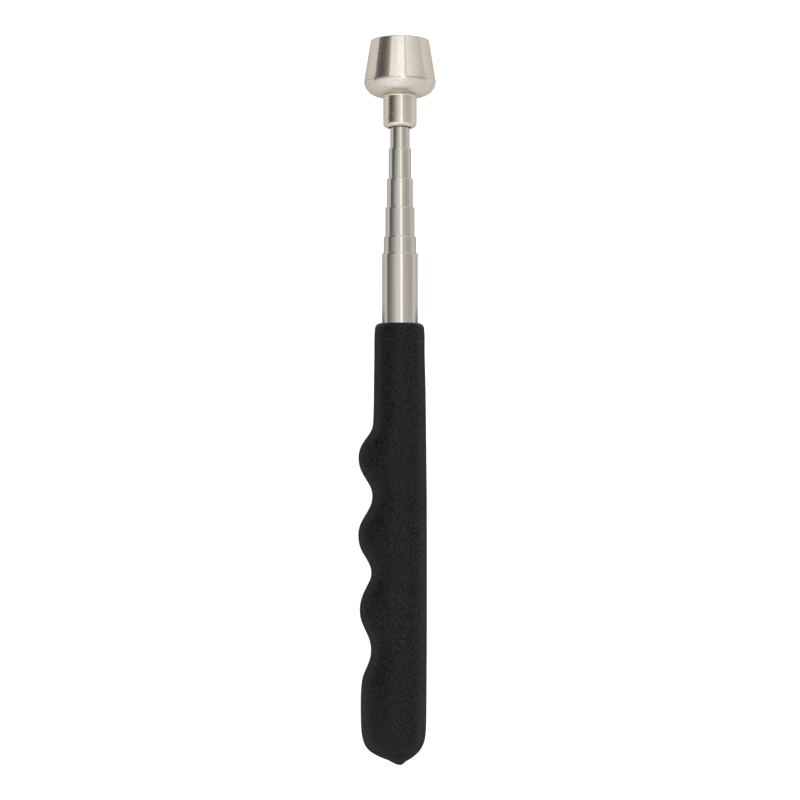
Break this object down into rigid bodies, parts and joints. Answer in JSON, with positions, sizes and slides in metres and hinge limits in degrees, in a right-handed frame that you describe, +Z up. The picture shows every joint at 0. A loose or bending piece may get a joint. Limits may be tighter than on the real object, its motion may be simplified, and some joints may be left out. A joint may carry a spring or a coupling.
{
  "type": "telescoping magnetic pickup tool",
  "caption": "Pocket magnetic pickup tool: a flared magnet head on nested telescoping steel tubes that pull out of a black moulded grip with finger ridges.",
  "frame": {"origin": "on the surface the tool lies on, under its axis, halfway along the closed tool", "axes": "+X along the tool's axis from the grip to the magnet face, +Y the side of the finger ridges, +Z up"},
  "size_m": [0.2064, 0.0221, 0.0205],
  "materials": {
    "head_nickel": "bright nickel plate over steel",
    "tube_stainless": "drawn stainless tube, lightly polished",
    "grip_vinyl": "soft moulded vinyl, fine matt grain",
    "magnet_nickel": "nickel plated sintered magnet",
    "potting_resin": "cast potting resin",
    "shoe_bronze": "spring bronze strip",
    "plug_plastic": "moulded plastic",
    "plug_steel": "turned steel"
  },
  "bodies": {
    "handle": {"handle_grip": "grip_vinyl", "base_tube": "tube_stainless", "base_plug": "plug_plastic"},
    "section_5_shoes": {"friction_shoe_5_left": "shoe_bronze", "friction_shoe_5_right": "shoe_bronze"},
    "section_5": {"section_5_tube": "tube_stainless"},
    "section_4_shoes": {"friction_shoe_4_left": "shoe_bronze", "friction_shoe_4_right": "shoe_bronze"},
    "section_4": {"section_4_tube": "tube_stainless"},
    "section_3_shoes": {"friction_shoe_3_left": "shoe_bronze", "friction_shoe_3_right": "shoe_bronze"},
    "section_3": {"section_3_tube": "tube_stainless"},
    "section_2_shoes": {"friction_shoe_2_left": "shoe_bronze", "friction_shoe_2_right": "shoe_bronze"},
    "section_2": {"section_2_tube": "tube_stainless"},
    "stem_shoes": {"friction_shoe_1_left": "shoe_bronze", "friction_shoe_1_right": "shoe_bronze"},
    "stem_and_head": {"stem_tube": "tube_stainless", "stem_plug": "plug_steel", "neck_hub": "head_nickel", "magnet_cup": "head_nickel", "magnet_disc": "magnet_nickel", "potting_ring": "potting_resin"}
  },
  "joints": [
    {"name": "section_5_slide", "type": "slide", "parent": "handle", "child": "section_5_shoes", "axis": [1, 0, 0], "range_m": [0, 0.1136]},
    {"name": "section_5_spin", "type": "hinge", "parent": "section_5_shoes", "child": "section_5", "pos_m": [0, 0, 0.01025], "axis": [1, 0, 0], "continuous": true},
    {"name": "section_4_slide", "type": "slide", "parent": "section_5", "child": "section_4_shoes", "axis": [1, 0, 0], "range_m": [0, 0.1184]},
    {"name": "section_4_spin", "type": "hinge", "parent": "section_4_shoes", "child": "section_4", "pos_m": [0, 0, 0.01025], "axis": [1, 0, 0], "continuous": true},
    {"name": "section_3_slide", "type": "slide", "parent": "section_4", "child": "section_3_shoes", "axis": [1, 0, 0], "range_m": [0, 0.1268]},
    {"name": "section_3_spin", "type": "hinge", "parent": "section_3_shoes", "child": "section_3", "pos_m": [0, 0, 0.01025], "axis": [1, 0, 0], "continuous": true},
    {"name": "section_2_slide", "type": "slide", "parent": "section_3", "child": "section_2_shoes", "axis": [1, 0, 0], "range_m": [0, 0.1349]},
    {"name": "section_2_spin", "type": "hinge", "parent": "section_2_shoes", "child": "section_2", "pos_m": [0, 0, 0.01025], "axis": [1, 0, 0], "continuous": true},
    {"name": "stem_slide", "type": "slide", "parent": "section_2", "child": "stem_shoes", "axis": [1, 0, 0], "range_m": [0, 0.1435]},
    {"name": "stem_spin", "type": "hinge", "parent": "stem_shoes", "child": "stem_and_head", "pos_m": [0, 0, 0.01025], "axis": [1, 0, 0], "continuous": true}
  ]
}
